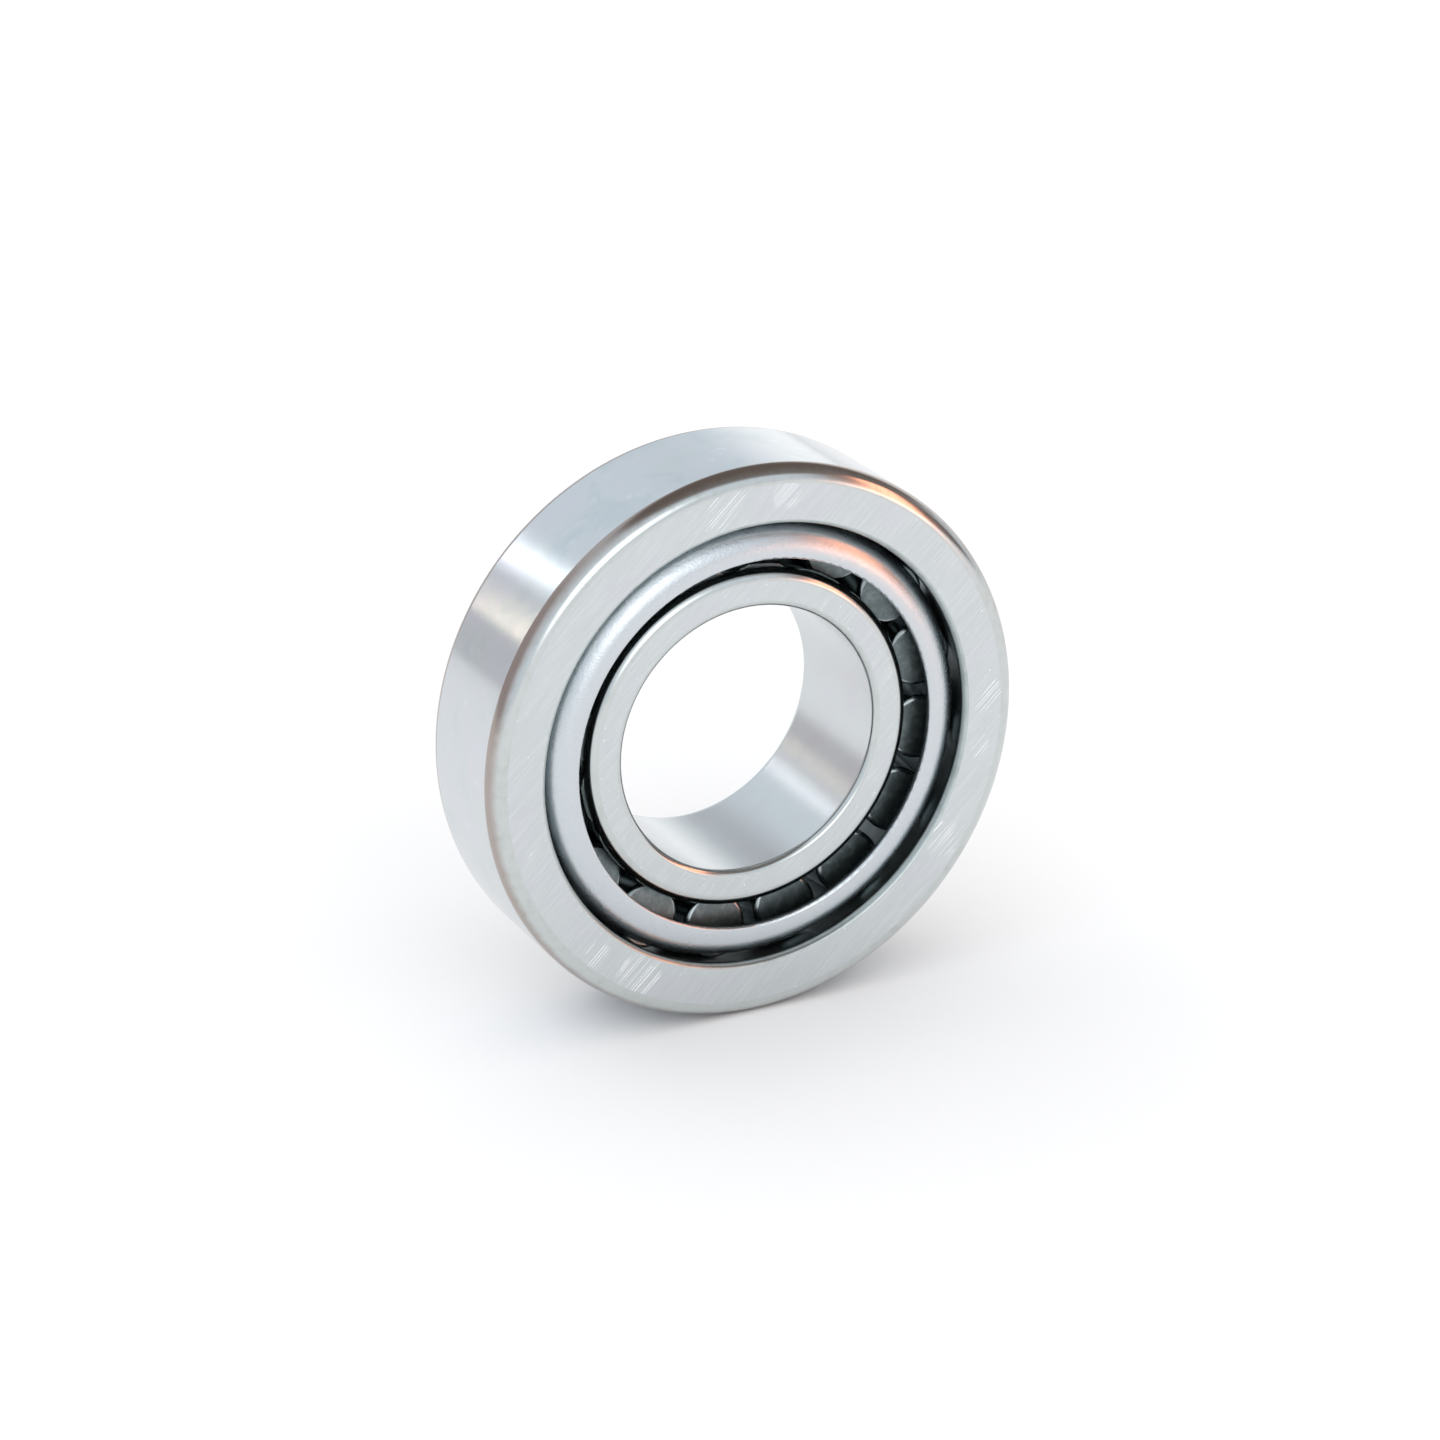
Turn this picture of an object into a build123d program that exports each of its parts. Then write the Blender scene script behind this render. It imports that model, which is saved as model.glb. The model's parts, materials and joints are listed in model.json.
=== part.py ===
"""Single-row tapered roller bearing: cup, cone, pressed cage and a ring of tapered rollers.

Units are millimetres and +Z is up.  The bearing stands on its rim: its axis is the Y axis.
The cup's back face, where the rollers' small ends show, faces -Y; the large thrust rib faces +Y.
The origin is the middle of the bearing, on its axis.
Axial stations below are measured from the cup's back face towards +Y and start with STATION_.
"""
import os
from math import atan, cos, degrees, radians, sin, tan
from build123d import *

os.makedirs("parts", exist_ok=True)

# ---- overall sizes ----
BORE_DIAMETER = 25.0
CUP_OUTSIDE_DIAMETER = 52.0
TOTAL_WIDTH = 16.25
CUP_WIDTH = 13.0
CONE_WIDTH = 14.25

# ---- raceways ----
CUP_SMALL_INSIDE_DIAMETER = 41.135
CUP_RACEWAY_ANGLE = 14.0361
ROLLER_HALF_TAPER = 2.0

# ---- rollers ----
ROLLER_COUNT = 16
ROLLER_LENGTH = 9.8
ROLLER_SMALL_END_STATION = 2.9
ROLLER_CORNER = 0.4
FIRST_ROLLER_ANGLE = 14.0

# ---- ring details ----
CUP_BACK_OUTER_CORNER = 1.5
CUP_FRONT_OUTER_CORNER = 1.2
CUP_BACK_INNER_CORNER_RADIAL = 0.62
CUP_BACK_INNER_CORNER_AXIAL = 1.15
CUP_FRONT_INNER_CORNER = 0.4
SMALL_RIB_HEIGHT = 0.75
SMALL_RIB_CORNER = 1.1
LARGE_RIB_HEIGHT = 1.75
LARGE_RIB_CORNER = 0.5
BORE_SMALL_END_CORNER = 0.6
BORE_LARGE_END_CORNER = 1.0
RELIEF_DEPTH = 0.2
RELIEF_WIDTH = 0.5

# ---- cage ----
CAGE_SHEET = 0.8
CAGE_FLANGE_STATION = 0.5
CAGE_FLANGE_WIDTH = 2.78
CAGE_FLANGE_FLAT = 0.4
CAGE_EDGE_ROUND = 0.2
CAGE_END_RING = 1.4

# ---- clearances between pieces that move on each other ----
ROLLER_TO_RACEWAY_CLEARANCE = 0.02
ROLLER_TO_LARGE_RIB_CLEARANCE = 0.04
ROLLER_TO_SMALL_RIB_CLEARANCE = 0.3
CAGE_TO_CUP_CLEARANCE = 0.5
POCKET_SIDE_CLEARANCE = 0.12
POCKET_END_CLEARANCE = 0.15

# ---- derived: every raceway line and every roller axis meets at one apex on the bearing axis ----
cup_angle = radians(CUP_RACEWAY_ANGLE)
half_taper = radians(ROLLER_HALF_TAPER)
roller_axis_angle = cup_angle - half_taper
cone_angle = cup_angle - 2 * half_taper
back_station_y = -TOTAL_WIDTH / 2
apex_station = -(CUP_SMALL_INSIDE_DIAMETER / 2) / tan(cup_angle)
apex_y = back_station_y + apex_station

# distances from the apex, along the cup raceway line and along the roller axis
line_at_small_end = (ROLLER_SMALL_END_STATION - apex_station) / cos(cup_angle)
axis_at_small_end = line_at_small_end * cos(half_taper)
axis_at_large_end = axis_at_small_end + ROLLER_LENGTH
line_at_large_end = axis_at_large_end / cos(half_taper)

roller_small_radius = axis_at_small_end * tan(half_taper) - ROLLER_TO_RACEWAY_CLEARANCE
roller_large_radius = axis_at_large_end * tan(half_taper) - ROLLER_TO_RACEWAY_CLEARANCE

outside_radius = CUP_OUTSIDE_DIAMETER / 2
bore_radius = BORE_DIAMETER / 2


def cup_raceway_radius(station):
    return (station - apex_station) * tan(cup_angle)


def cone_raceway_radius(station):
    return (station - apex_station) * tan(cone_angle)


def y_of(station):
    return back_station_y + station


def roller_plane(index, distance_from_apex):
    """Plane square to one roller's axis, its Z along that axis towards the large end."""
    around = radians(FIRST_ROLLER_ANGLE + index * 360.0 / ROLLER_COUNT)
    outward = sin(roller_axis_angle)
    along = Vector(outward * cos(around), cos(roller_axis_angle), outward * sin(around))
    tangent = Vector(-sin(around), 0, cos(around))
    centre = Vector(0, apex_y, 0) + along * distance_from_apex
    return Plane(origin=centre, x_dir=tangent, z_dir=along)


# ---- cup: outer ring with the thick back face at station 0 ----
cup_front_station = CUP_WIDTH
corner_in_station = CUP_BACK_INNER_CORNER_AXIAL
corner_in_radius = cup_raceway_radius(corner_in_station)
corner_face_radius = cup_raceway_radius(0) + CUP_BACK_INNER_CORNER_RADIAL
cup_mouth_radius = cup_raceway_radius(cup_front_station)
mouth_station = cup_front_station - CUP_FRONT_INNER_CORNER
outer_back_y = y_of(CUP_BACK_OUTER_CORNER)
outer_front_y = y_of(cup_front_station - CUP_FRONT_OUTER_CORNER)

with BuildPart() as cup:
    with BuildSketch(Plane.XY) as cup_section:
        with BuildLine():
            Line((corner_face_radius, y_of(0)), (outside_radius - CUP_BACK_OUTER_CORNER, y_of(0)))
            RadiusArc(
                (outside_radius - CUP_BACK_OUTER_CORNER, y_of(0)),
                (outside_radius, outer_back_y),
                -CUP_BACK_OUTER_CORNER,
            )
            Line((outside_radius, outer_back_y), (outside_radius, outer_front_y))
            RadiusArc(
                (outside_radius, outer_front_y),
                (outside_radius - CUP_FRONT_OUTER_CORNER, y_of(cup_front_station)),
                -CUP_FRONT_OUTER_CORNER,
            )
            Polyline(
                (outside_radius - CUP_FRONT_OUTER_CORNER, y_of(cup_front_station)),
                (cup_mouth_radius + CUP_FRONT_INNER_CORNER, y_of(cup_front_station)),
                (cup_raceway_radius(mouth_station), y_of(mouth_station)),
                (corner_in_radius, y_of(corner_in_station)),
            )
            Bezier(
                (corner_in_radius, y_of(corner_in_station)),
                (cup_raceway_radius(0), y_of(0)),
                (corner_face_radius, y_of(0)),
            )
        make_face()
    revolve(axis=Axis.Y)
cup.part.label = "cup"
export_step(cup.part, "parts/cup.step")

# ---- cone: inner ring between its small rib and its large thrust rib ----
cone_front_station = TOTAL_WIDTH - CONE_WIDTH
cone_back_station = TOTAL_WIDTH

# the ribs' guiding faces are square to the roller axis
small_face_distance = axis_at_small_end - ROLLER_TO_SMALL_RIB_CLEARANCE
large_face_distance = axis_at_large_end + ROLLER_TO_LARGE_RIB_CLEARANCE


def face_station(distance, radius):
    """Station where a face square to the roller axis crosses a given radius."""
    return apex_station + (distance - radius * sin(roller_axis_angle)) / cos(roller_axis_angle)


small_race_radius = small_face_distance * sin(cone_angle) / cos(half_taper)
large_race_radius = large_face_distance * sin(cone_angle) / cos(half_taper)
small_rib_radius = small_race_radius + SMALL_RIB_HEIGHT
large_rib_radius = large_race_radius + LARGE_RIB_HEIGHT
small_relief_radius = small_race_radius - RELIEF_DEPTH
large_relief_radius = large_race_radius - RELIEF_DEPTH
small_race_station = face_station(small_face_distance, small_race_radius)
large_race_station = face_station(large_face_distance, large_race_radius)
small_relief_station = small_race_station + RELIEF_WIDTH
large_relief_station = large_race_station - RELIEF_WIDTH

with BuildPart() as cone:
    with BuildSketch(Plane.XY) as cone_section:
        with BuildLine():
            Line(
                (bore_radius + BORE_SMALL_END_CORNER, y_of(cone_front_station)),
                (small_rib_radius - SMALL_RIB_CORNER, y_of(cone_front_station)),
            )
            RadiusArc(
                (small_rib_radius - SMALL_RIB_CORNER, y_of(cone_front_station)),
                (small_rib_radius, y_of(cone_front_station + SMALL_RIB_CORNER)),
                -SMALL_RIB_CORNER,
            )
            Polyline(
                (small_rib_radius, y_of(cone_front_station + SMALL_RIB_CORNER)),
                (small_rib_radius, y_of(face_station(small_face_distance, small_rib_radius))),
                (small_relief_radius, y_of(face_station(small_face_distance, small_relief_radius))),
                (cone_raceway_radius(small_relief_station) - RELIEF_DEPTH, y_of(small_relief_station)),
                (cone_raceway_radius(small_relief_station + RELIEF_DEPTH),
                 y_of(small_relief_station + RELIEF_DEPTH)),
                (cone_raceway_radius(large_relief_station - RELIEF_DEPTH),
                 y_of(large_relief_station - RELIEF_DEPTH)),
                (cone_raceway_radius(large_relief_station) - RELIEF_DEPTH, y_of(large_relief_station)),
                (large_relief_radius, y_of(face_station(large_face_distance, large_relief_radius))),
                (large_rib_radius, y_of(face_station(large_face_distance, large_rib_radius))),
                (large_rib_radius, y_of(cone_back_station - LARGE_RIB_CORNER)),
            )
            RadiusArc(
                (large_rib_radius, y_of(cone_back_station - LARGE_RIB_CORNER)),
                (large_rib_radius - LARGE_RIB_CORNER, y_of(cone_back_station)),
                -LARGE_RIB_CORNER,
            )
            Line(
                (large_rib_radius - LARGE_RIB_CORNER, y_of(cone_back_station)),
                (bore_radius + BORE_LARGE_END_CORNER, y_of(cone_back_station)),
            )
            RadiusArc(
                (bore_radius + BORE_LARGE_END_CORNER, y_of(cone_back_station)),
                (bore_radius, y_of(cone_back_station - BORE_LARGE_END_CORNER)),
                -BORE_LARGE_END_CORNER,
            )
            Line(
                (bore_radius, y_of(cone_back_station - BORE_LARGE_END_CORNER)),
                (bore_radius, y_of(cone_front_station + BORE_SMALL_END_CORNER)),
            )
            RadiusArc(
                (bore_radius, y_of(cone_front_station + BORE_SMALL_END_CORNER)),
                (bore_radius + BORE_SMALL_END_CORNER, y_of(cone_front_station)),
                -BORE_SMALL_END_CORNER,
            )
        make_face()
    revolve(axis=Axis.Y)
cone.part.label = "cone"
export_step(cone.part, "parts/cone.step")

# ---- cage: pressed sheet, flange turned in at the small end, one window per roller ----
outer_offset = CAGE_TO_CUP_CLEARANCE / cos(cup_angle)
inner_offset = (CAGE_TO_CUP_CLEARANCE + CAGE_SHEET) / cos(cup_angle)
flange_back_station = CAGE_FLANGE_STATION + CAGE_SHEET
# the bend takes up the flange's width beyond its rim round and its flat
bend_share = CAGE_FLANGE_WIDTH - CAGE_EDGE_ROUND - CAGE_FLANGE_FLAT
bend_outside_radius = bend_share * tan((radians(90) + cup_angle) / 2)
bend_inside_radius = bend_outside_radius - CAGE_SHEET
pocket_end_distance = axis_at_large_end + POCKET_END_CLEARANCE
pocket_start_distance = axis_at_small_end - POCKET_END_CLEARANCE
cage_end_station = face_station(pocket_end_distance, cup_raceway_radius(CUP_WIDTH)) + CAGE_END_RING


def cage_outer_radius(station):
    return cup_raceway_radius(station) - outer_offset


def cage_inner_radius(station):
    return cup_raceway_radius(station) - inner_offset


rim_radius = cage_outer_radius(CAGE_FLANGE_STATION) - CAGE_FLANGE_WIDTH

with BuildPart() as cage:
    with BuildSketch(Plane.XY) as cage_section:
        with BuildLine():
            Polyline(
                (rim_radius, y_of(CAGE_FLANGE_STATION)),
                (cage_outer_radius(CAGE_FLANGE_STATION), y_of(CAGE_FLANGE_STATION)),
                (cage_outer_radius(cage_end_station), y_of(cage_end_station)),
                (cage_inner_radius(cage_end_station), y_of(cage_end_station)),
                (cage_inner_radius(flange_back_station), y_of(flange_back_station)),
                (rim_radius, y_of(flange_back_station)),
                close=True,
            )
        make_face()
        outside_bend = (cage_outer_radius(CAGE_FLANGE_STATION), y_of(CAGE_FLANGE_STATION), 0)
        inside_bend = (cage_inner_radius(flange_back_station), y_of(flange_back_station), 0)
        fillet(cage_section.vertices().sort_by_distance(outside_bend)[0], bend_outside_radius)
        fillet(cage_section.vertices().sort_by_distance(inside_bend)[0], bend_inside_radius)
        for edge_point in (
            (rim_radius, y_of(CAGE_FLANGE_STATION), 0),
            (rim_radius, y_of(flange_back_station), 0),
            (cage_outer_radius(cage_end_station), y_of(cage_end_station), 0),
            (cage_inner_radius(cage_end_station), y_of(cage_end_station), 0),
        ):
            fillet(cage_section.vertices().sort_by_distance(edge_point)[0], CAGE_EDGE_ROUND)
    revolve(axis=Axis.Y)
    # each window is a roller's own shape, enlarged by the pocket clearances
    for index in range(ROLLER_COUNT):
        with Locations(roller_plane(index, pocket_start_distance)):
            Cone(
                bottom_radius=pocket_start_distance * tan(half_taper) + POCKET_SIDE_CLEARANCE,
                top_radius=pocket_end_distance * tan(half_taper) + POCKET_SIDE_CLEARANCE,
                height=pocket_end_distance - pocket_start_distance,
                align=(Align.CENTER, Align.CENTER, Align.MIN),
                mode=Mode.SUBTRACT,
            )
cage.part.label = "cage"
export_step(cage.part, "parts/cage.step")

# ---- rollers: one tapered roller per cage window, each on its own inclined axis ----
for index in range(ROLLER_COUNT):
    with BuildPart(roller_plane(index, axis_at_small_end)) as roller:
        Cone(
            bottom_radius=roller_small_radius,
            top_radius=roller_large_radius,
            height=ROLLER_LENGTH,
            align=(Align.CENTER, Align.CENTER, Align.MIN),
        )
        fillet(roller.edges().filter_by(GeomType.CIRCLE), ROLLER_CORNER)
    roller.part.label = f"roller_{index + 1:02d}"
    export_step(roller.part, f"parts/roller_{index + 1:02d}.step")
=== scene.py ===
import json
import math

import bmesh
import bpy
from mathutils import Matrix, Vector


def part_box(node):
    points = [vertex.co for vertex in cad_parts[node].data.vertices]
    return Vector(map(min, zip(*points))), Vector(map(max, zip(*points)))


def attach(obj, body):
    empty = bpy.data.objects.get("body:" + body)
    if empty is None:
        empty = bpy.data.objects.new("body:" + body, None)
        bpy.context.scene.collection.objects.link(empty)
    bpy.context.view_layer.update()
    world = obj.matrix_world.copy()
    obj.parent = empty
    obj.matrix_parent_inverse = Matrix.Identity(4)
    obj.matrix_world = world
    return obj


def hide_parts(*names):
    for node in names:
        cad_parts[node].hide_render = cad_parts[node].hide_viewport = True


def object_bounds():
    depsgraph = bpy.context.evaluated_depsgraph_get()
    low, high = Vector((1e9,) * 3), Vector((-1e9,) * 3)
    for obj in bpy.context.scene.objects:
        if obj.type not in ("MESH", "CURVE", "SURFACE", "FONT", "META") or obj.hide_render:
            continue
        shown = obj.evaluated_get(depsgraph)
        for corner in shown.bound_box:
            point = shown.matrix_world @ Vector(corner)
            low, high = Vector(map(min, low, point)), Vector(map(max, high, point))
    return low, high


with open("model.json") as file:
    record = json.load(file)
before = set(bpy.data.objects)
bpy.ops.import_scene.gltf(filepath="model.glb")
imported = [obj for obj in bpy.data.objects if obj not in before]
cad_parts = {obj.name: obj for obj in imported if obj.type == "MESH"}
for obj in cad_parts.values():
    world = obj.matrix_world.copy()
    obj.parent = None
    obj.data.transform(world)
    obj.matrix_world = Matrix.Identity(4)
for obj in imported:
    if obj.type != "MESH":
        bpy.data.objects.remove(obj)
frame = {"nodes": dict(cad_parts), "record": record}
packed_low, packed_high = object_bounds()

# Sizes are written in millimetres and turned into metres where the meshes are made.
# Stations run along the bearing axis from the cup's back face towards +Y.
MM = 0.001
BEARING_AXIS = Vector((0, 1, 0))
RING_STEPS = 320
ROLLER_STEPS = 64

record = frame["record"]
scene = bpy.context.scene

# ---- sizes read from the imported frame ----
cup_low, cup_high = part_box("cup")
cone_low, cone_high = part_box("cone")
cage_low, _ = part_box("cage")
bore_radius = next(m["dims"]["r_mm"] for m in record["mounts"] if m["name"] == "bore")
outside_radius = cup_high.x / MM
back_y = cup_low.y / MM
cup_width = (cup_high.y - cup_low.y) / MM
cone_front_station = cone_low.y / MM - back_y
cone_back_station = cone_high.y / MM - back_y
large_rib_radius = cone_high.x / MM
cage_flange_station = cage_low.y / MM - back_y

# ---- sizes that the frame's boxes don't give ----
CUP_RACEWAY_ANGLE = math.radians(14.0361)
CUP_SMALL_INSIDE_RADIUS = 20.5675
ROLLER_HALF_TAPER = math.radians(2.0)
ROLLER_LENGTH = 9.8
ROLLER_SMALL_END_STATION = 2.9
RUNNING_CLEARANCE = 0.02
ROLLER_CORNER = 0.4
CAGE_SHEET = 0.8
CAGE_TO_CUP = 0.5
CAGE_BEND_MIDDLE = 2.39
SMALL_RIB_HEIGHT = 0.75
SMALL_RIB_CORNER = 1.1
SMALL_RIB_END_GAP = 0.3
LARGE_RIB_END_GAP = 0.04
RELIEF_DEPTH = 0.2
RELIEF_WIDTH = 0.5
CUP_BACK_OUTER_CORNER = 1.5
CUP_FRONT_OUTER_CORNER = 1.2
CUP_BACK_INNER_RADIAL = 0.62
CUP_BACK_INNER_AXIAL = 1.15
CUP_BACK_INNER_SQUEEZE = 0.478  # rounds the corner over its radial and its axial length at once
CUP_FRONT_INNER_CORNER = 0.4
LARGE_RIB_CORNER = 0.5
LARGE_RIB_GUIDE_EDGE = 0.12
BORE_FRONT_CORNER = 0.6
BORE_BACK_CORNER = 1.0
BROKEN_EDGE = 0.05
FLAT = 0.9999

roller_axis_angle = CUP_RACEWAY_ANGLE - ROLLER_HALF_TAPER
cone_raceway_angle = CUP_RACEWAY_ANGLE - 2 * ROLLER_HALF_TAPER
apex_station = -CUP_SMALL_INSIDE_RADIUS / math.tan(CUP_RACEWAY_ANGLE)
roller_start = (
    (ROLLER_SMALL_END_STATION - apex_station) / math.cos(CUP_RACEWAY_ANGLE) * math.cos(ROLLER_HALF_TAPER)
)
roller_end = roller_start + ROLLER_LENGTH


def cup_raceway(station):
    return (station - apex_station) * math.tan(CUP_RACEWAY_ANGLE)


def cone_raceway(station):
    return (station - apex_station) * math.tan(cone_raceway_angle)


def square_face_station(distance, radius):
    """Station where a face square to the roller axis crosses a radius."""
    lean = math.sin(roller_axis_angle)
    return apex_station + (distance - radius * lean) / math.cos(roller_axis_angle)


# ---- shaping ----
def held_section(corners, hold=0.07):
    """Section corners with a holding point on each side of every rounded one, so flats stay flat."""
    points = []
    count = len(corners)
    for index, (radius, station, width) in enumerate(corners):
        here = Vector((radius, station))
        for step in (-1, 1):
            other = corners[(index + step) % count]
            reach = Vector(other[:2]) - here
            room = reach.length - width - other[2]
            held = here + reach.normalized() * (width + hold)
            if step == 1:
                points.append(here)
            if room > 3 * hold:
                points.append(held)
    return points


def spun(bm, geometry, axis, steps):
    """Spins an outline once round an axis through the origin, into one closed skin."""
    bmesh.ops.spin(
        bm,
        geom=geometry,
        cent=(0, 0, 0),
        axis=axis,
        angle=math.tau,
        steps=steps,
        use_merge=True,
    )
    bmesh.ops.remove_doubles(bm, verts=bm.verts, dist=1e-7)
    bmesh.ops.recalc_face_normals(bm, faces=bm.faces)


def bevelled(bm, rim, width, segments):
    bmesh.ops.bevel(
        bm,
        geom=rim,
        offset=width * MM,
        offset_type="OFFSET",
        affect="EDGES",
        segments=segments,
        profile=0.5,
        material=-1,
    )


def turned_mesh(points):
    """A closed section, spun once round the bearing axis."""
    bm = bmesh.new()
    verts = [bm.verts.new((p.x * MM, (back_y + p.y) * MM, 0)) for p in points]
    edges = [bm.edges.new((verts[i - 1], verts[i])) for i in range(len(verts))]
    spun(bm, verts + edges, BEARING_AXIS, RING_STEPS)
    return bm


def ring_edges(bm, radius, station, slack=0.004):
    """The edges that make one rim of a turned mesh."""
    at_y = back_y + station

    def on_rim(vert):
        return (
            abs(math.hypot(vert.co.x, vert.co.z) / MM - radius) < slack
            and abs(vert.co.y / MM - at_y) < slack
        )

    return [e for e in bm.edges if on_rim(e.verts[0]) and on_rim(e.verts[1])]


def round_rim(bm, radius, station, width, segments, squeeze=1.0):
    """Rounds one rim; squeeze shortens the axis meanwhile, which makes the round longer along it."""
    rim = ring_edges(bm, radius, station)
    bmesh.ops.scale(bm, vec=(1, squeeze, 1), verts=bm.verts)
    bevelled(bm, rim, width, segments)
    bmesh.ops.scale(bm, vec=(1, 1 / squeeze, 1), verts=bm.verts)


def finished_piece(bm, name, body, nodes, materials, choose):
    """Makes the object, gives each face the finish chosen for it, and ties it to its body."""
    bm.normal_update()
    for face in bm.faces:
        face.smooth = True
        face.material_index = materials.index(choose(face))
    mesh = bpy.data.meshes.new(name)
    bm.to_mesh(mesh)
    bm.free()
    for material in materials:
        mesh.materials.append(material)
    mesh.set_sharp_from_angle(angle=math.radians(32))
    piece = bpy.data.objects.new(name, mesh)
    scene.collection.objects.link(piece)
    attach(piece, body)
    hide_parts(*nodes)


# ---- finishes ----
def feed(links, source, socket):
    """Puts a plain number or colour on the socket itself, and links anything else to it."""
    if isinstance(source, tuple):
        socket.default_value = (*source, 1)
    elif isinstance(source, (int, float)):
        socket.default_value = source
    else:
        links.new(source, socket)


class Finish:
    """One steel finish, built up from a plain metal by adding grain, clouds and scratches.

    Pattern scales are per metre, and heights are in millimetres.
    """

    def __init__(self, name, colour, roughness):
        self.material = bpy.data.materials.new(name)
        self.material.use_nodes = True
        self.nodes = self.material.node_tree.nodes
        self.links = self.material.node_tree.links
        self.shader = self.nodes["Principled BSDF"]
        self.shader.inputs["Metallic"].default_value = 1.0
        self.place = self.nodes.new("ShaderNodeTexCoord").outputs["Object"]
        self.colour = colour
        self.roughness = roughness
        self.height = None

    def turned(self, angle=0, stretch=(1, 1, 1), shift=(0, 0, 0)):
        """Pattern space turned about the bearing axis, then stretched along its own X, Y and Z."""
        node = self.nodes.new("ShaderNodeMapping")
        node.vector_type = "TEXTURE"
        node.inputs["Location"].default_value = shift
        node.inputs["Rotation"].default_value = (0, math.radians(angle), 0)
        node.inputs["Scale"].default_value = stretch
        self.links.new(self.place, node.inputs["Vector"])
        return node.outputs["Vector"]

    def noise(self, where, scale, detail=2.0, rough=0.5, distortion=0.0):
        node = self.nodes.new("ShaderNodeTexNoise")
        node.inputs["Scale"].default_value = scale
        node.inputs["Detail"].default_value = detail
        node.inputs["Roughness"].default_value = rough
        node.inputs["Distortion"].default_value = distortion
        self.links.new(where, node.inputs["Vector"])
        return node.outputs["Fac"]

    def band(self, source, low, high, out_low=0.0, out_high=1.0):
        node = self.nodes.new("ShaderNodeMapRange")
        node.interpolation_type = "SMOOTHSTEP"
        node.inputs["From Min"].default_value = low
        node.inputs["From Max"].default_value = high
        node.inputs["To Min"].default_value = out_low
        node.inputs["To Max"].default_value = out_high
        self.links.new(source, node.inputs["Value"])
        return node.outputs["Result"]

    def math(self, operation, a, b):
        node = self.nodes.new("ShaderNodeMath")
        node.operation = operation
        for socket, source in zip(node.inputs, (a, b)):
            feed(self.links, source, socket)
        return node.outputs[0]

    def distance(self, point):
        node = self.nodes.new("ShaderNodeVectorMath")
        node.operation = "DISTANCE"
        self.links.new(self.place, node.inputs[0])
        node.inputs[1].default_value = point
        return node.outputs["Value"]

    def radius(self):
        """Distance from the bearing axis."""
        split = self.nodes.new("ShaderNodeSeparateXYZ")
        self.links.new(self.place, split.inputs[0])
        x, _, z = split.outputs
        squared = self.math("ADD", self.math("MULTIPLY", x, x), self.math("MULTIPLY", z, z))
        return self.math("SQRT", squared, 0.0)

    def tint(self, amount, colour):
        """Lays a colour over the steel where amount is high."""
        node = self.nodes.new("ShaderNodeMix")
        node.data_type = "RGBA"
        self.links.new(amount, node.inputs[0])
        feed(self.links, self.colour, node.inputs[6])
        feed(self.links, colour, node.inputs[7])
        self.colour = node.outputs[2]

    def roughen(self, amount, by):
        self.roughness = self.math("ADD", self.math("MULTIPLY", amount, by), self.roughness)

    def raise_by(self, amount, depth_mm):
        """Adds to the surface height, in millimetres."""
        part = self.math("MULTIPLY", amount, depth_mm * MM)
        self.height = part if self.height is None else self.math("ADD", self.height, part)

    def done(self):
        feed(self.links, self.colour, self.shader.inputs["Base Color"])
        feed(self.links, self.roughness, self.shader.inputs["Roughness"])
        if self.height is not None:
            bump = self.nodes.new("ShaderNodeBump")
            bump.inputs["Strength"].default_value = 1.0
            bump.inputs["Distance"].default_value = 1.0
            self.links.new(self.height, bump.inputs["Height"])
            self.links.new(bump.outputs["Normal"], self.shader.inputs["Normal"])
        return self.material


# Darkest tone of the raceways: painted shade for the inside of the bearing, laid on in random clouds like an
# oil film.
OIL_AND_SHADE_DARK = (0.22, 0.27, 0.28)

# Angle round the axis, radius and reach of each patch of handling scratches on the cup's face.
SCRATCHED_SPOTS = (
    (238, 22.9, 3.4),
    (226, 23.3, 2.0),
    (192, 23.4, 1.6),
    (2, 23.3, 2.6),
    (350, 22.6, 1.8),
    (326, 22.6, 2.8),
    (98, 22.8, 3.4),
    (84, 23.4, 2.2),
)


def ground_outside_finish():
    """Cylindrically ground steel: fine lines round the ring under soft clouds of handling."""
    finish = Finish("ground_outside", (0.60, 0.635, 0.65), 0.09)
    clouds = finish.noise(finish.turned(), 190, 3.0, 0.55, 0.4)
    finish.tint(finish.band(clouds, 0.45, 0.75, 0.0, 0.55), (0.64, 0.625, 0.69))
    finish.tint(finish.band(clouds, 0.30, 0.50, 0.45, 0.0), (0.50, 0.56, 0.60))
    patches = finish.noise(finish.turned(shift=(0.3, 0.1, 0.2)), 520, 4.0, 0.6)
    finish.tint(finish.band(patches, 0.58, 0.72, 0.0, 0.40), (0.72, 0.75, 0.77))
    finish.roughen(patches, 0.06)
    lines = finish.noise(finish.turned(stretch=(50, 1, 50)), 9000, 3.0, 0.7)
    finish.raise_by(lines, 0.0006)
    finish.roughen(lines, 0.05)
    return finish.done()


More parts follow.
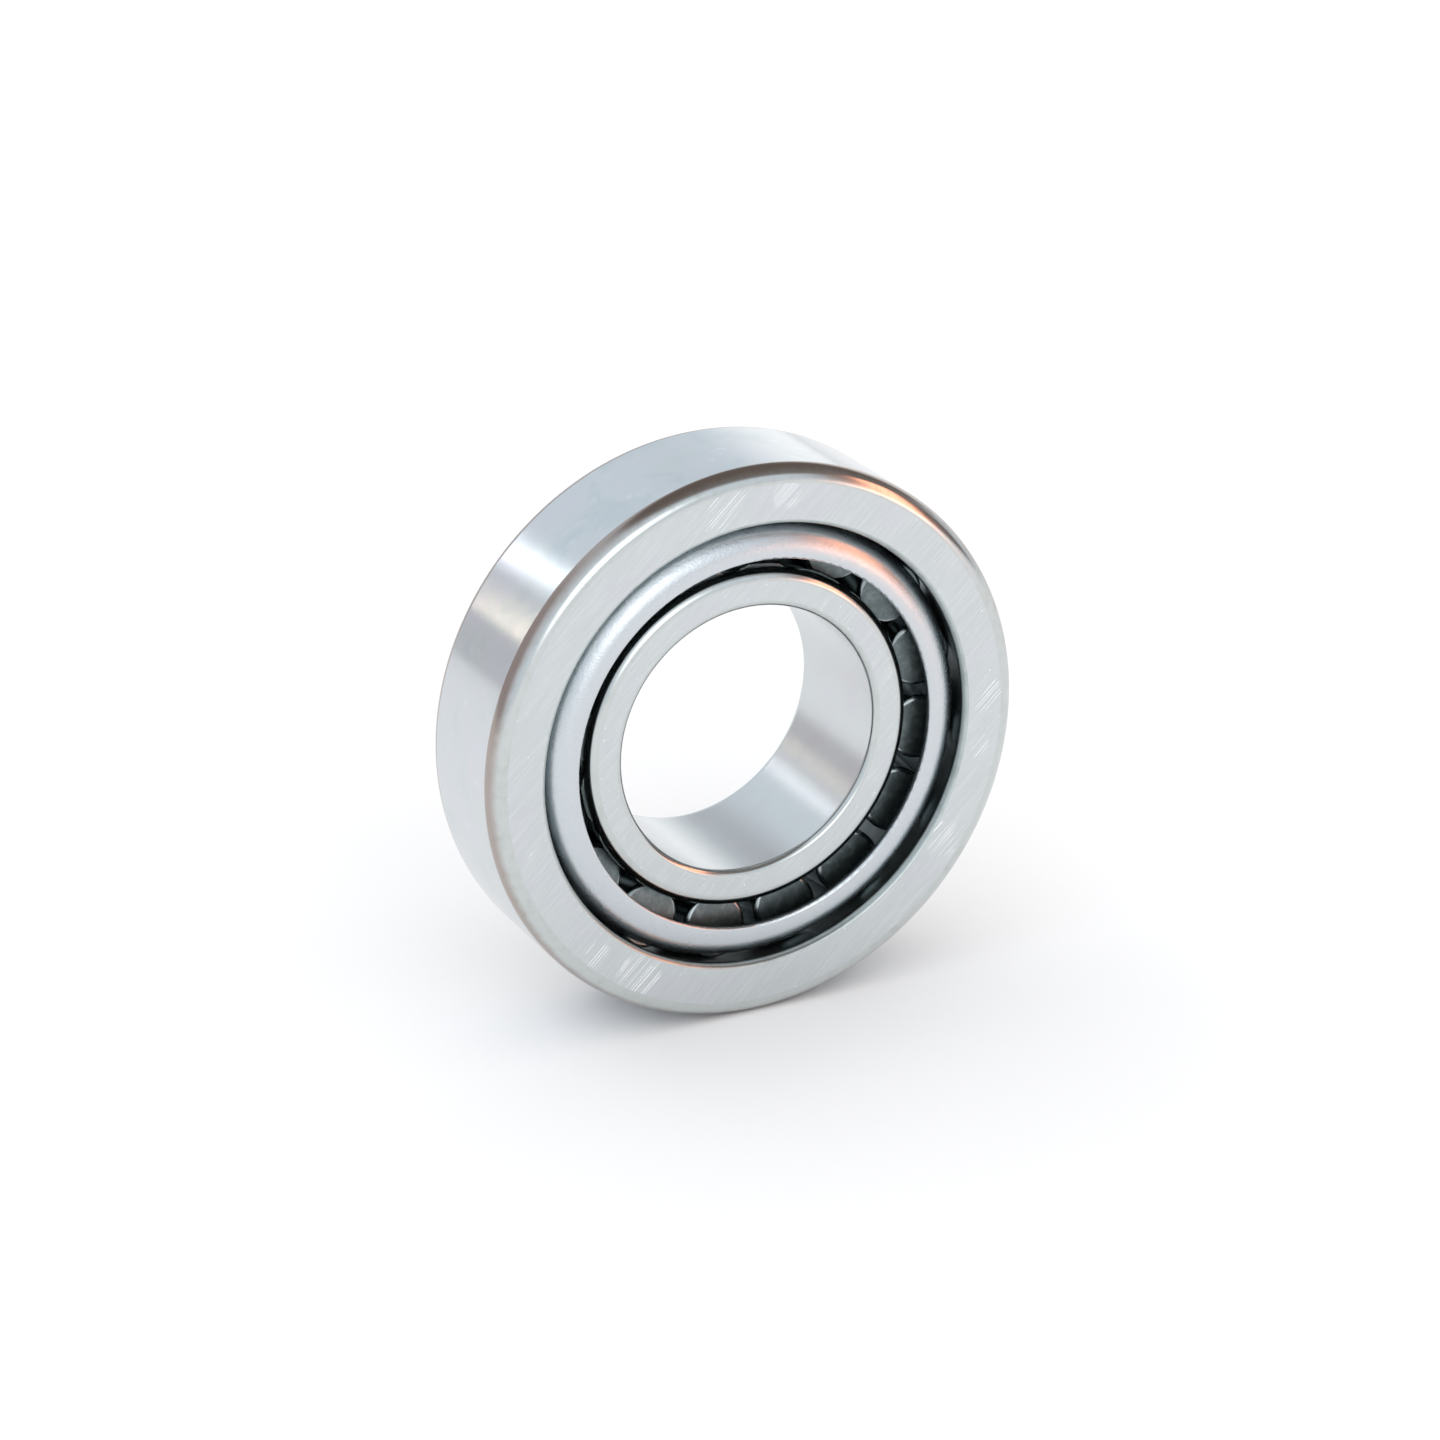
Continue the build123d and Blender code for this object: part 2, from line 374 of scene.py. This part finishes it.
def ground_face_finish():
    """Flat ground steel: a fine lay, small specks and clusters of straight bright scratches."""
    finish = Finish("ground_face", (0.59, 0.63, 0.64), 0.20)
    clouds = finish.noise(finish.turned(), 150, 3.0, 0.55)
    finish.tint(finish.band(clouds, 0.42, 0.72, 0.0, 0.55), (0.61, 0.62, 0.67))
    lay = finish.noise(finish.turned(-43, (20, 1, 1)), 5200, 3.0, 0.6)
    finish.raise_by(lay, 0.0008)
    finish.tint(finish.band(lay, 0.40, 0.75, 0.0, 0.45), (0.74, 0.77, 0.77))
    strokes = finish.noise(finish.turned(-43, (250, 5, 1)), 16000, 0.0, 0.5)
    ragged = finish.noise(finish.turned(), 900, 2.0, 0.6)
    handled = 0.0
    for angle, radius, reach in SCRATCHED_SPOTS:
        around = math.radians(angle)
        at = Vector((math.cos(around) * radius, back_y, math.sin(around) * radius)) * MM
        spot = finish.band(finish.distance(at), 0.3 * reach * MM, reach * MM, 1.0, 0.0)
        handled = finish.math("MAXIMUM", spot, handled)
    where = finish.band(finish.math("MULTIPLY", handled, ragged), 0.16, 0.42)
    scratches = finish.math("MULTIPLY", finish.band(strokes, 0.635, 0.69), where)
    finish.tint(scratches, (1.0, 1.0, 1.0))
    finish.raise_by(scratches, -0.004)
    specks = finish.band(finish.noise(finish.turned(), 4200, 1.0, 0.5), 0.73, 0.79)
    finish.tint(specks, (0.95, 0.97, 1.0))
    return finish.done()


def turned_corner_finish():
    """Rounded corners: smoother, with faint turning rings."""
    finish = Finish("turned_corner", (0.58, 0.61, 0.61), 0.13)
    rings = finish.noise(finish.turned(stretch=(20, 1, 20)), 5200, 2.0, 0.6)
    finish.raise_by(rings, 0.0008)
    wear = finish.noise(finish.turned(), 900, 4.0, 0.65)
    finish.tint(finish.band(wear, 0.45, 0.75, 0.0, 0.6), (0.48, 0.52, 0.49))
    finish.roughen(wear, 0.10)
    # painted reflection: a dark brown band on the outer rim of the corners, standing in for the dark
    # surroundings reflected along the edge
    edge = finish.math("ADD", finish.radius(), finish.math("MULTIPLY", wear, 0.25 * MM))
    painted_rim_reflection = finish.band(edge, (outside_radius - 0.6) * MM, (outside_radius + 0.05) * MM, 0.0, 0.75)
    finish.tint(painted_rim_reflection, (0.34, 0.27, 0.24))
    return finish.done()


def mouth_corner_finish():
    """The cup's long inner corner: tumbled dull, with a thin film of oil."""
    finish = Finish("mouth_corner", (0.50, 0.55, 0.545), 0.28)
    film = finish.noise(finish.turned(), 700, 4.0, 0.6)
    finish.tint(finish.band(film, 0.45, 0.72, 0.0, 0.6), (0.36, 0.41, 0.40))
    finish.roughen(film, 0.10)
    return finish.done()


def ground_bore_finish():
    """Ground bore: the same circumferential lay, a little duller than the outside."""
    finish = Finish("ground_bore", (0.62, 0.65, 0.66), 0.20)
    clouds = finish.noise(finish.turned(), 240, 3.0, 0.55)
    finish.tint(finish.band(clouds, 0.45, 0.75, 0.0, 0.5), (0.60, 0.58, 0.63))
    lines = finish.noise(finish.turned(stretch=(50, 1, 50)), 8000, 3.0, 0.7)
    finish.raise_by(lines, 0.0007)
    finish.roughen(lines, 0.07)
    return finish.done()


def honed_raceway_finish():
    """Raceways and guiding ribs: honed, painted dark overall as painted shade for the inside of the bearing,
    with darker clouds of oil film.
    """
    # painted shade: the raceway steel is set much darker than the outer steel
    finish = Finish("honed_raceway", (0.36, 0.42, 0.43), 0.26)
    lines = finish.noise(finish.turned(stretch=(50, 1, 50)), 12000, 2.0, 0.6)
    finish.raise_by(lines, 0.0004)
    film = finish.noise(finish.turned(), 420, 3.0, 0.6)
    finish.tint(finish.band(film, 0.42, 0.70, 0.0, 0.6), OIL_AND_SHADE_DARK)
    finish.roughen(film, 0.12)
    return finish.done()


def pressed_sheet_finish():
    """Pressed and tumbled sheet: pebbled and bright outside; the inner side is painted near-black as painted
    shade for the inside of the bearing.
    """
    finish = Finish("pressed_sheet", (0.60, 0.64, 0.67), 0.20)
    pebbles = finish.noise(finish.turned(), 5200, 3.0, 0.6)
    finish.raise_by(pebbles, 0.022)
    finish.tint(finish.band(pebbles, 0.55, 0.75, 0.0, 0.35), (0.74, 0.78, 0.80))
    waves = finish.noise(finish.turned(), 620, 2.0, 0.5)
    finish.raise_by(waves, 0.02)
    finish.roughen(waves, 0.12)

    # how far a point lies inward of the sheet's own middle surface, round the bend as well
    split = finish.nodes.new("ShaderNodeSeparateXYZ")
    finish.links.new(finish.place, split.inputs[0])
    y = split.outputs["Y"]
    slope, lean = math.tan(CUP_RACEWAY_ANGLE), math.cos(CUP_RACEWAY_ANGLE)
    bend = CAGE_BEND_MIDDLE * MM
    mid_wall = cup_raceway(0) - (CAGE_TO_CUP + CAGE_SHEET / 2) / lean
    mid_flange = back_y + cage_flange_station + CAGE_SHEET / 2
    wall_line = finish.math("ADD", finish.math("MULTIPLY", y, slope), (mid_wall - back_y * slope) * MM)
    under = finish.math("MULTIPLY", finish.math("SUBTRACT", wall_line, finish.radius()), lean)
    behind = finish.math("SUBTRACT", y, mid_flange * MM)
    short_under = finish.math("MAXIMUM", finish.math("SUBTRACT", bend, under), 0.0)
    short_behind = finish.math("MAXIMUM", finish.math("SUBTRACT", bend, behind), 0.0)
    squares = finish.math(
        "ADD",
        finish.math("MULTIPLY", short_under, short_under),
        finish.math("MULTIPLY", short_behind, short_behind),
    )
    from_bend = finish.math("SQRT", squares, 0.0)
    # painted shade: the sheet's inner side is tinted near-black and made rougher, standing in for the shade
    # inside the bearing
    inside = finish.band(from_bend, (CAGE_BEND_MIDDLE - 0.1) * MM, (CAGE_BEND_MIDDLE + 0.1) * MM, 1.0, 0.0)
    finish.tint(inside, (0.08, 0.105, 0.11))
    finish.roughen(inside, 0.15)
    return finish.done()


def roller_body_finish():
    """Roller sides: superfinished steel under a thin oil film, painted dark as painted shade for the inside
    of the bearing.
    """
    # painted shade: darker steel than the rings, for the rollers sitting in the bearing's shade
    finish = Finish("roller_body", (0.34, 0.38, 0.39), 0.14)
    film = finish.noise(finish.turned(), 700, 3.0, 0.6)
    finish.tint(finish.band(film, 0.42, 0.70, 0.0, 0.6), (0.24, 0.28, 0.28))
    finish.roughen(film, 0.14)
    return finish.done()


def roller_end_finish():
    """Roller ends: steel painted darker still as painted shade for the recess they sit in, with clouds of oil
    film.
    """
    # painted shade: very dark steel standing in for the shade deep in the gap between cage and rings
    finish = Finish("roller_end", (0.14, 0.17, 0.175), 0.28)
    film = finish.noise(finish.turned(), 1300, 4.0, 0.6)
    finish.tint(finish.band(film, 0.40, 0.72, 0.0, 0.8), (0.24, 0.285, 0.29))
    grit = finish.noise(finish.turned(), 9000, 2.0, 0.6)
    finish.raise_by(grit, 0.003)
    finish.roughen(film, 0.15)
    return finish.done()


FACE = ground_face_finish()
OUTSIDE = ground_outside_finish()
CORNER = turned_corner_finish()
MOUTH_CORNER = mouth_corner_finish()
BORE = ground_bore_finish()
RACEWAY = honed_raceway_finish()
SHEET = pressed_sheet_finish()
ROLLER_SIDE = roller_body_finish()
ROLLER_END = roller_end_finish()


def middle_of(face):
    """Radius and station of a face's middle, and how squarely it faces along the axis."""
    centre = face.calc_center_median()
    radius = math.hypot(centre.x, centre.z) / MM
    return radius, centre.y / MM - back_y, abs(face.normal.y)


# ---- cup ----
def make_cup():
    mouth = cup_width - CUP_FRONT_INNER_CORNER
    edge = 0.06
    corners = [
        (cup_raceway(0), 0, CUP_BACK_INNER_RADIAL),
        (outside_radius, 0, CUP_BACK_OUTER_CORNER),
        (outside_radius, cup_width, CUP_FRONT_OUTER_CORNER),
        (cup_raceway(cup_width) + CUP_FRONT_INNER_CORNER, cup_width, edge),
        (cup_raceway(mouth), mouth, edge),
    ]
    bm = turned_mesh(held_section(corners))
    round_rim(bm, *corners[0], 8, CUP_BACK_INNER_SQUEEZE)
    round_rim(bm, *corners[1], 12)
    round_rim(bm, *corners[2], 10)
    round_rim(bm, *corners[3], 2)
    round_rim(bm, *corners[4], 2)

    def choose(face):
        radius, station, square = middle_of(face)
        past_corner = station > CUP_BACK_INNER_AXIAL + 0.05
        if square > FLAT:
            return FACE
        if radius > outside_radius - 0.002:
            return OUTSIDE
        if radius < cup_raceway(station) + 0.01 and past_corner:
            return RACEWAY
        if radius < cup_raceway(0) + 1 and not past_corner:
            return MOUTH_CORNER
        return CORNER

    materials = [FACE, OUTSIDE, CORNER, RACEWAY, MOUTH_CORNER]
    finished_piece(bm, "cup_ring", "cup", ["cup"], materials, choose)


# ---- cone ----
def make_cone():
    front, back = cone_front_station, cone_back_station
    small_face = roller_start - SMALL_RIB_END_GAP
    large_face = roller_end + LARGE_RIB_END_GAP
    small_race = small_face * math.sin(cone_raceway_angle) / math.cos(ROLLER_HALF_TAPER)
    large_race = large_face * math.sin(cone_raceway_angle) / math.cos(ROLLER_HALF_TAPER)
    small_rib = small_race + SMALL_RIB_HEIGHT
    small_relief = square_face_station(small_face, small_race) + RELIEF_WIDTH
    large_relief = square_face_station(large_face, large_race) - RELIEF_WIDTH
    low_small = small_race - RELIEF_DEPTH
    low_large = large_race - RELIEF_DEPTH
    start = small_relief + RELIEF_DEPTH
    stop = large_relief - RELIEF_DEPTH
    corners = [
        (bore_radius, front, BORE_FRONT_CORNER),
        (small_rib, front, SMALL_RIB_CORNER),
        (small_rib, square_face_station(small_face, small_rib), BROKEN_EDGE),
        (low_small, square_face_station(small_face, low_small), BROKEN_EDGE),
        (cone_raceway(small_relief) - RELIEF_DEPTH, small_relief, BROKEN_EDGE),
        (cone_raceway(start), start, 0.0),
        (cone_raceway(stop), stop, 0.0),
        (cone_raceway(large_relief) - RELIEF_DEPTH, large_relief, BROKEN_EDGE),
        (low_large, square_face_station(large_face, low_large), BROKEN_EDGE),
        (large_rib_radius, square_face_station(large_face, large_rib_radius), LARGE_RIB_GUIDE_EDGE),
        (large_rib_radius, back, LARGE_RIB_CORNER),
        (bore_radius, back, BORE_BACK_CORNER),
    ]
    bm = turned_mesh(held_section(corners, hold=0.05))
    # the two ends of the raceway itself stay unrounded
    segments = (8, 8, 2, 2, 2, 0, 0, 2, 2, 4, 8, 10)
    for corner, count in zip(corners, segments):
        if count:
            round_rim(bm, *corner, count)

    def choose(face):
        radius, station, square = middle_of(face)
        if square > FLAT:
            return FACE
        if radius < bore_radius + 0.002:
            return BORE
        if radius < cone_raceway(station) + 0.01 and radius > bore_radius + 1.5:
            return RACEWAY
        return CORNER

    materials = [FACE, BORE, CORNER, RACEWAY]
    finished_piece(bm, "cone_ring", "cone", ["cone"], materials, choose)


# ---- rollers ----
def make_roller(joint):
    """One roller turned about its own joint's axis, small end first."""
    half = ROLLER_LENGTH / 2
    small = roller_start * math.tan(ROLLER_HALF_TAPER) - RUNNING_CLEARANCE
    large = roller_end * math.tan(ROLLER_HALF_TAPER) - RUNNING_CLEARANCE
    bm = bmesh.new()
    # holding rings just past each rounded corner, and one halfway in on each end
    down, along_side, halfway = ROLLER_CORNER + 0.07, ROLLER_CORNER + 0.05, 0.45
    widening = along_side * math.tan(ROLLER_HALF_TAPER)
    section = [
        (0, -half),
        (halfway * small, -half),
        (small - down, -half),
        (small, -half),
        (small + widening, along_side - half),
        (large - widening, half - along_side),
        (large, half),
        (large - down, half),
        (halfway * large, half),
        (0, half),
    ]
    verts = [bm.verts.new((r * MM, 0, a * MM)) for r, a in section]
    edges = [bm.edges.new((verts[i], verts[i + 1])) for i in range(len(verts) - 1)]
    spun(bm, verts + edges, Vector((0, 0, 1)), ROLLER_STEPS)
    for radius, height in ((small, -half), (large, half)):

        def on_rim(vert):
            off_radius = abs(math.hypot(vert.co.x, vert.co.y) / MM - radius)
            return off_radius < 0.004 and abs(vert.co.z / MM - height) < 0.002

        rim = [e for e in bm.edges if on_rim(e.verts[0]) and on_rim(e.verts[1])]
        bevelled(bm, rim, ROLLER_CORNER, 6)
    along = Vector(joint["axis"]).normalized()
    turn = along.to_track_quat("Z", "Y").to_matrix().to_4x4()
    bmesh.ops.transform(bm, matrix=Matrix.Translation(joint["pos_m"]) @ turn, verts=bm.verts)

    def choose(face):
        return ROLLER_END if abs(face.normal.dot(along)) > 0.999 else ROLLER_SIDE

    body = joint["child"]
    materials = [ROLLER_SIDE, ROLLER_END]
    finished_piece(bm, f"tapered_{body}", body, [body], materials, choose)


# ---- cage ----
def finish_cage():
    """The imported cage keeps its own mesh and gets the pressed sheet's finish."""
    cage = frame["nodes"]["cage"]
    for slot in cage.material_slots:
        slot.material = SHEET


# ---- studio ----
def heading(round_from_back, above):
    """Direction from the bearing: degrees round from straight behind it towards +X, and above the horizon."""
    a, e = math.radians(round_from_back), math.radians(above)
    return Vector((math.sin(a) * math.cos(e), math.cos(a) * math.cos(e), math.sin(e)))


def soft_light(name, towards, distance, width, height, colour, radiance, long_side=None, only_floor=False):
    """An area light that faces the bearing, with its brightness given as seen from there."""
    light = bpy.data.lights.new(name, "AREA")
    light.shape = "RECTANGLE"
    light.size, light.size_y = width, height
    light.color = colour
    light.energy = radiance * width * height * math.pi
    lamp = bpy.data.objects.new(name, light)
    lamp.location = towards * distance
    across = (long_side or Vector((0, 0, 1))).cross(towards).normalized()
    turn = Matrix((across, towards.cross(across), towards)).transposed()
    lamp.rotation_mode = "QUATERNION"
    lamp.rotation_quaternion = turn.to_quaternion()
    lamp.visible_camera = False
    lamp.visible_glossy = not only_floor
    lamp.visible_diffuse = only_floor
    scene.collection.objects.link(lamp)


def studio_surroundings():
    """A pale tent, bright low down and in front, dim and slightly warm overhead and at the sides."""
    world = bpy.data.worlds.new("studio_surroundings")
    scene.world = world
    world.use_nodes = True
    nodes, links = world.node_tree.nodes, world.node_tree.links
    background = nodes["Background"]
    direction = nodes.new("ShaderNodeTexCoord").outputs["Generated"]
    current = (0.86, 0.92, 0.98)

    def patch(towards, inside, outside, colour):
        nonlocal current
        dot = nodes.new("ShaderNodeVectorMath")
        dot.operation = "DOT_PRODUCT"
        dot.inputs[1].default_value = towards
        links.new(direction, dot.inputs[0])
        spread = nodes.new("ShaderNodeMapRange")
        spread.interpolation_type = "SMOOTHSTEP"
        spread.inputs["From Min"].default_value = math.cos(math.radians(outside))
        spread.inputs["From Max"].default_value = math.cos(math.radians(inside))
        links.new(dot.outputs["Value"], spread.inputs["Value"])
        mix = nodes.new("ShaderNodeMix")
        mix.data_type = "RGBA"
        links.new(spread.outputs["Result"], mix.inputs[0])
        feed(links, current, mix.inputs[6])
        feed(links, colour, mix.inputs[7])
        current = mix.outputs[2]

    patch(heading(-65, 10), 24, 46, (0.62, 0.585, 0.60))
    patch(heading(80, 62), 41, 54, (0.26, 0.23, 0.215))
    patch(heading(48, 0), 8, 32, (1.3, 1.3, 1.3))
    patch(heading(118, 8), 16, 30, (0.20, 0.16, 0.15))
    patch(heading(-174, 18), 12, 21, (2.1, 2.1, 2.1))
    path = nodes.new("ShaderNodeLightPath")
    shown = nodes.new("ShaderNodeMix")
    shown.data_type = "RGBA"
    links.new(path.outputs["Is Camera Ray"], shown.inputs[0])
    links.new(current, shown.inputs[6])
    shown.inputs[7].default_value = (1, 1, 1, 1)
    links.new(shown.outputs[2], background.inputs["Color"])


def pale_floor():
    bm = bmesh.new()
    half_width = 4.0
    bmesh.ops.create_grid(bm, x_segments=1, y_segments=1, size=half_width)
    bmesh.ops.translate(bm, vec=(0, 0, packed_low.z), verts=bm.verts)
    mesh = bpy.data.meshes.new("floor")
    bm.to_mesh(mesh)
    bm.free()
    floor = bpy.data.objects.new("floor", mesh)
    scene.collection.objects.link(floor)
    material = bpy.data.materials.new("pale_floor")
    material.use_nodes = True
    shader = material.node_tree.nodes["Principled BSDF"]
    shader.inputs["Base Color"].default_value = (0.90, 0.90, 0.90, 1)
    shader.inputs["Roughness"].default_value = 0.8
    shader.inputs["Specular IOR Level"].default_value = 0.1
    mesh.materials.append(material)


def photographer_camera():
    """Looks down on the cup's back face from the left front."""
    azimuth, elevation = math.radians(-26.91), math.radians(22.52)
    distance, shift_right, shift_up = 0.3755, -0.00361, 0.00251
    back = Vector(
        (
            math.sin(azimuth) * math.cos(elevation),
            -math.cos(azimuth) * math.cos(elevation),
            math.sin(elevation),
        )
    )
    right = Vector((math.cos(azimuth), math.sin(azimuth), 0))
    up = back.cross(right)
    camera_data = bpy.data.cameras.new("camera")
    camera_data.lens = 106.4
    camera_data.sensor_width = 36
    camera_data.clip_start, camera_data.clip_end = 0.01, 50
    camera = bpy.data.objects.new("camera", camera_data)
    scene.collection.objects.link(camera)
    face_centre = Vector((0, packed_low.y, 0))
    camera.location = face_centre + back * distance + right * shift_right + up * shift_up
    camera.rotation_mode = "QUATERNION"
    camera.rotation_quaternion = Matrix((right, up, back)).transposed().to_quaternion()
    scene.camera = camera


photographer_camera()
studio_surroundings()
pale_floor()
soft_light("back_strip", heading(-24.5, 24), 0.6, 0.022, 0.12, (1, 1, 1), 2.6)
soft_light("cream_strip", heading(-32, 15), 0.6, 0.008, 0.10, (1, 0.84, 0.62), 4.0)
warm_top, warm_foot = heading(107, 33), heading(145, -6)
warm_middle = (warm_top + warm_foot).normalized()
soft_light("warm_lamp", warm_middle, 0.3, 0.06, 0.26, (1, 0.40, 0.24), 3.2, long_side=warm_top - warm_foot)
overhead = Vector((0, 0, 1))
soft_light("overhead_fill", overhead, 1.2, 3.2, 3.2, (1, 1, 1), 0.9, long_side=BEARING_AXIS, only_floor=True)

scene.view_settings.view_transform = "Standard"

make_cup()
make_cone()
for joint in record["behaviour"]["joints"]:
    if joint["child"].startswith("roller_"):
        make_roller(joint)
finish_cage()
